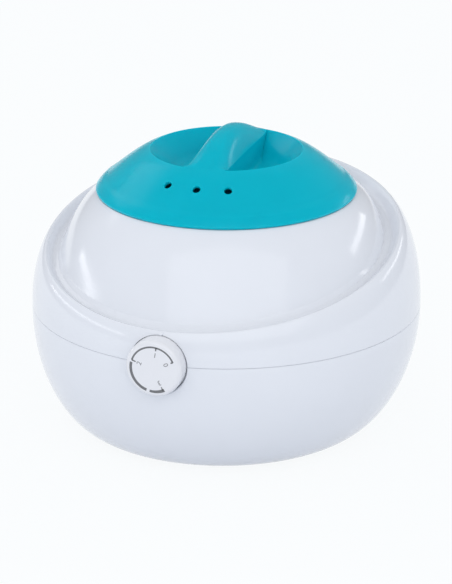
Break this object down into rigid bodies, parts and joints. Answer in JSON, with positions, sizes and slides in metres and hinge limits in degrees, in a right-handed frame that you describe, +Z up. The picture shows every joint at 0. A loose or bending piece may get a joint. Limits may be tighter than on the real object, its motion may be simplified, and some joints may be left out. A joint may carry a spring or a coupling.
{
  "type": "wax warmer",
  "caption": "Round wax warmer with a glossy casing, a heated well, a lift-out pot with a bail, a loose lid with a grip bar across its recess, and a thermostat knob at the front.",
  "frame": {"origin": "on the table under the axis of the casing, midway between the face of the knob and the end of the cord gland", "axes": "+Z up, -Y towards the side that carries the knob, +Y towards the cord gland, +X to the right as seen from the knob"},
  "size_m": [0.244, 0.26, 0.1888],
  "materials": {
    "white_plastic": "moulded, glossy, slightly cool white",
    "knob_plastic": "moulded, satin, white",
    "lid_plastic": "moulded, glossy, cyan",
    "aluminium": "deep drawn, satin",
    "shield_aluminium": "pressed sheet, bright",
    "steel": "zinc plated",
    "spring_steel": "drawn stainless wire",
    "copper": "drawn copper",
    "mica": "mica and steel strip",
    "glass_wool": "glass fibre mat",
    "rubber": "matt rubber",
    "silicone": "silicone",
    "black_plastic": "moulded, matt, black",
    "brown_insulation": "wire insulation",
    "blue_insulation": "wire insulation",
    "green_insulation": "wire insulation"
  },
  "bodies": {
    "casing": {"upper_housing": "white_plastic", "lower_housing": "white_plastic", "rubber_foot_1": "rubber", "rubber_foot_2": "rubber", "rubber_foot_3": "rubber", "rubber_foot_4": "rubber", "housing_screw_1": "steel", "housing_screw_2": "steel", "housing_screw_3": "steel", "housing_screw_4": "steel", "cord_gland": "black_plastic", "gland_nut": "black_plastic", "well_gasket": "silicone", "heating_well": "aluminium", "well_screw_1": "steel", "well_screw_2": "steel", "well_screw_3": "steel", "well_screw_4": "steel", "heater_band": "mica", "band_clamp_screw": "steel", "band_clamp_nut": "steel", "insulation_wrap": "glass_wool", "heat_shield": "shield_aluminium", "shield_screw_1": "steel", "shield_screw_2": "steel", "shield_screw_3": "steel", "sensing_bulb": "copper", "bulb_clip": "spring_steel", "thermal_fuse": "steel", "fuse_clip": "spring_steel", "earth_screw": "steel", "thermostat_body": "black_plastic", "thermostat_bracket": "steel", "thermostat_screw_1": "steel", "thermostat_screw_2": "steel", "bracket_screw_1": "steel", "bracket_screw_2": "steel", "capillary_tube": "copper", "terminal_block": "black_plastic", "terminal_block_screw_1": "steel", "terminal_block_screw_2": "steel", "terminal_clamp_screw_1": "steel", "terminal_clamp_screw_2": "steel", "terminal_clamp_screw_3": "steel", "terminal_clamp_screw_4": "steel", "terminal_clamp_screw_5": "steel", "terminal_clamp_screw_6": "steel", "live_lead": "brown_insulation", "switched_lead": "brown_insulation", "fuse_lead": "brown_insulation", "neutral_lead": "blue_insulation", "earth_lead": "green_insulation"},
    "knob": {"control_knob": "knob_plastic", "thermostat_shaft": "steel"},
    "pot": {"wax_pot": "aluminium"},
    "bail": {"pot_bail": "spring_steel"},
    "lid": {"lid": "lid_plastic"}
  },
  "joints": [
    {"name": "knob_turn", "type": "hinge", "parent": "casing", "child": "knob", "pos_m": [0, -0.1191, 0.077], "axis": [0, 1, 0], "range_deg": [-65, 207]},
    {"name": "pot_lift", "type": "slide", "parent": "casing", "child": "pot", "axis": [0, 0, 1], "range_m": [0, 0.12]},
    {"name": "lid_lift", "type": "slide", "parent": "pot", "child": "lid", "axis": [0, 0, 1], "range_m": [0, 0.12]},
    {"name": "bail_swing", "type": "hinge", "parent": "pot", "child": "bail", "pos_m": [0, 0, 0.1532], "axis": [1, 0, 0], "range_deg": [0, 90]}
  ],
  "couplings": [
    {"joint": "bail_swing", "follows": "lid_lift", "rad_per_m": 13.08}
  ]
}
